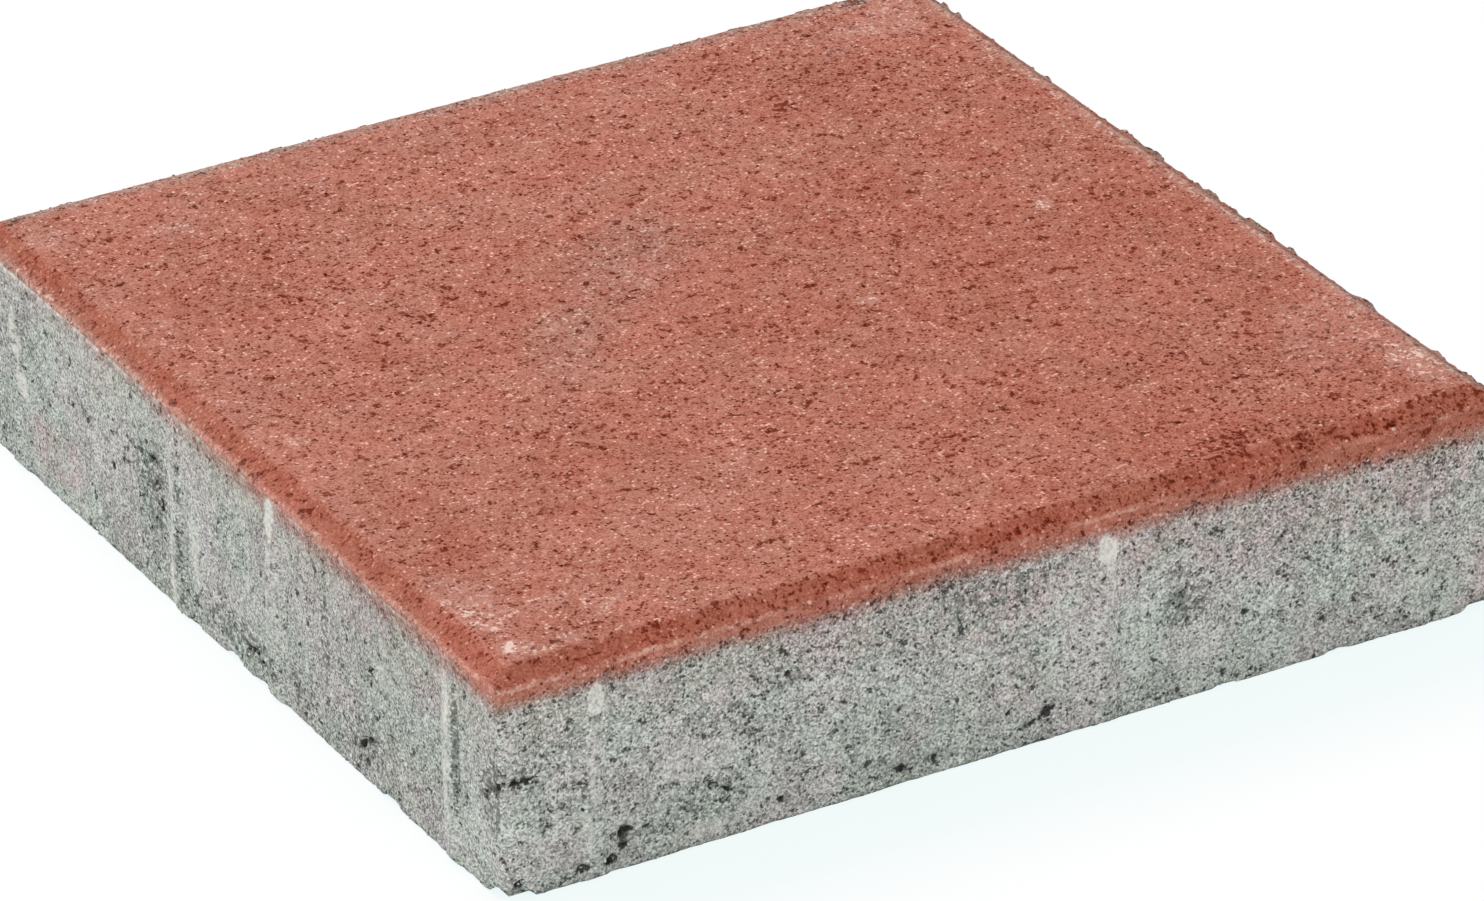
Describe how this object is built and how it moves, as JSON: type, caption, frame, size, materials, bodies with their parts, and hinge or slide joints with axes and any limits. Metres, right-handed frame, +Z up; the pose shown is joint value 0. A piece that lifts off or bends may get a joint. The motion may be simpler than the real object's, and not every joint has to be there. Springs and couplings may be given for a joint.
{
  "type": "concrete paving stone",
  "caption": "Square pressed concrete paving stone: grey base with moulded spacer nibs, and a red pigmented facing with a chamfered top edge.",
  "frame": {"origin": "centre of the underside, on the plane that the stone lies on", "axes": "+Z up through the thickness to the walking surface; +X and +Y square to the side faces"},
  "size_m": [0.2806, 0.2806, 0.06],
  "materials": {
    "base_concrete": "grey core concrete as struck from the mould, sandy, with small voids",
    "face_concrete": "red iron-oxide pigmented facing concrete, fine open sandy texture, pale bloom at the corners"
  },
  "bodies": {
    "root": {"base_concrete": "base_concrete", "face_concrete": "face_concrete"}
  },
  "joints": []
}
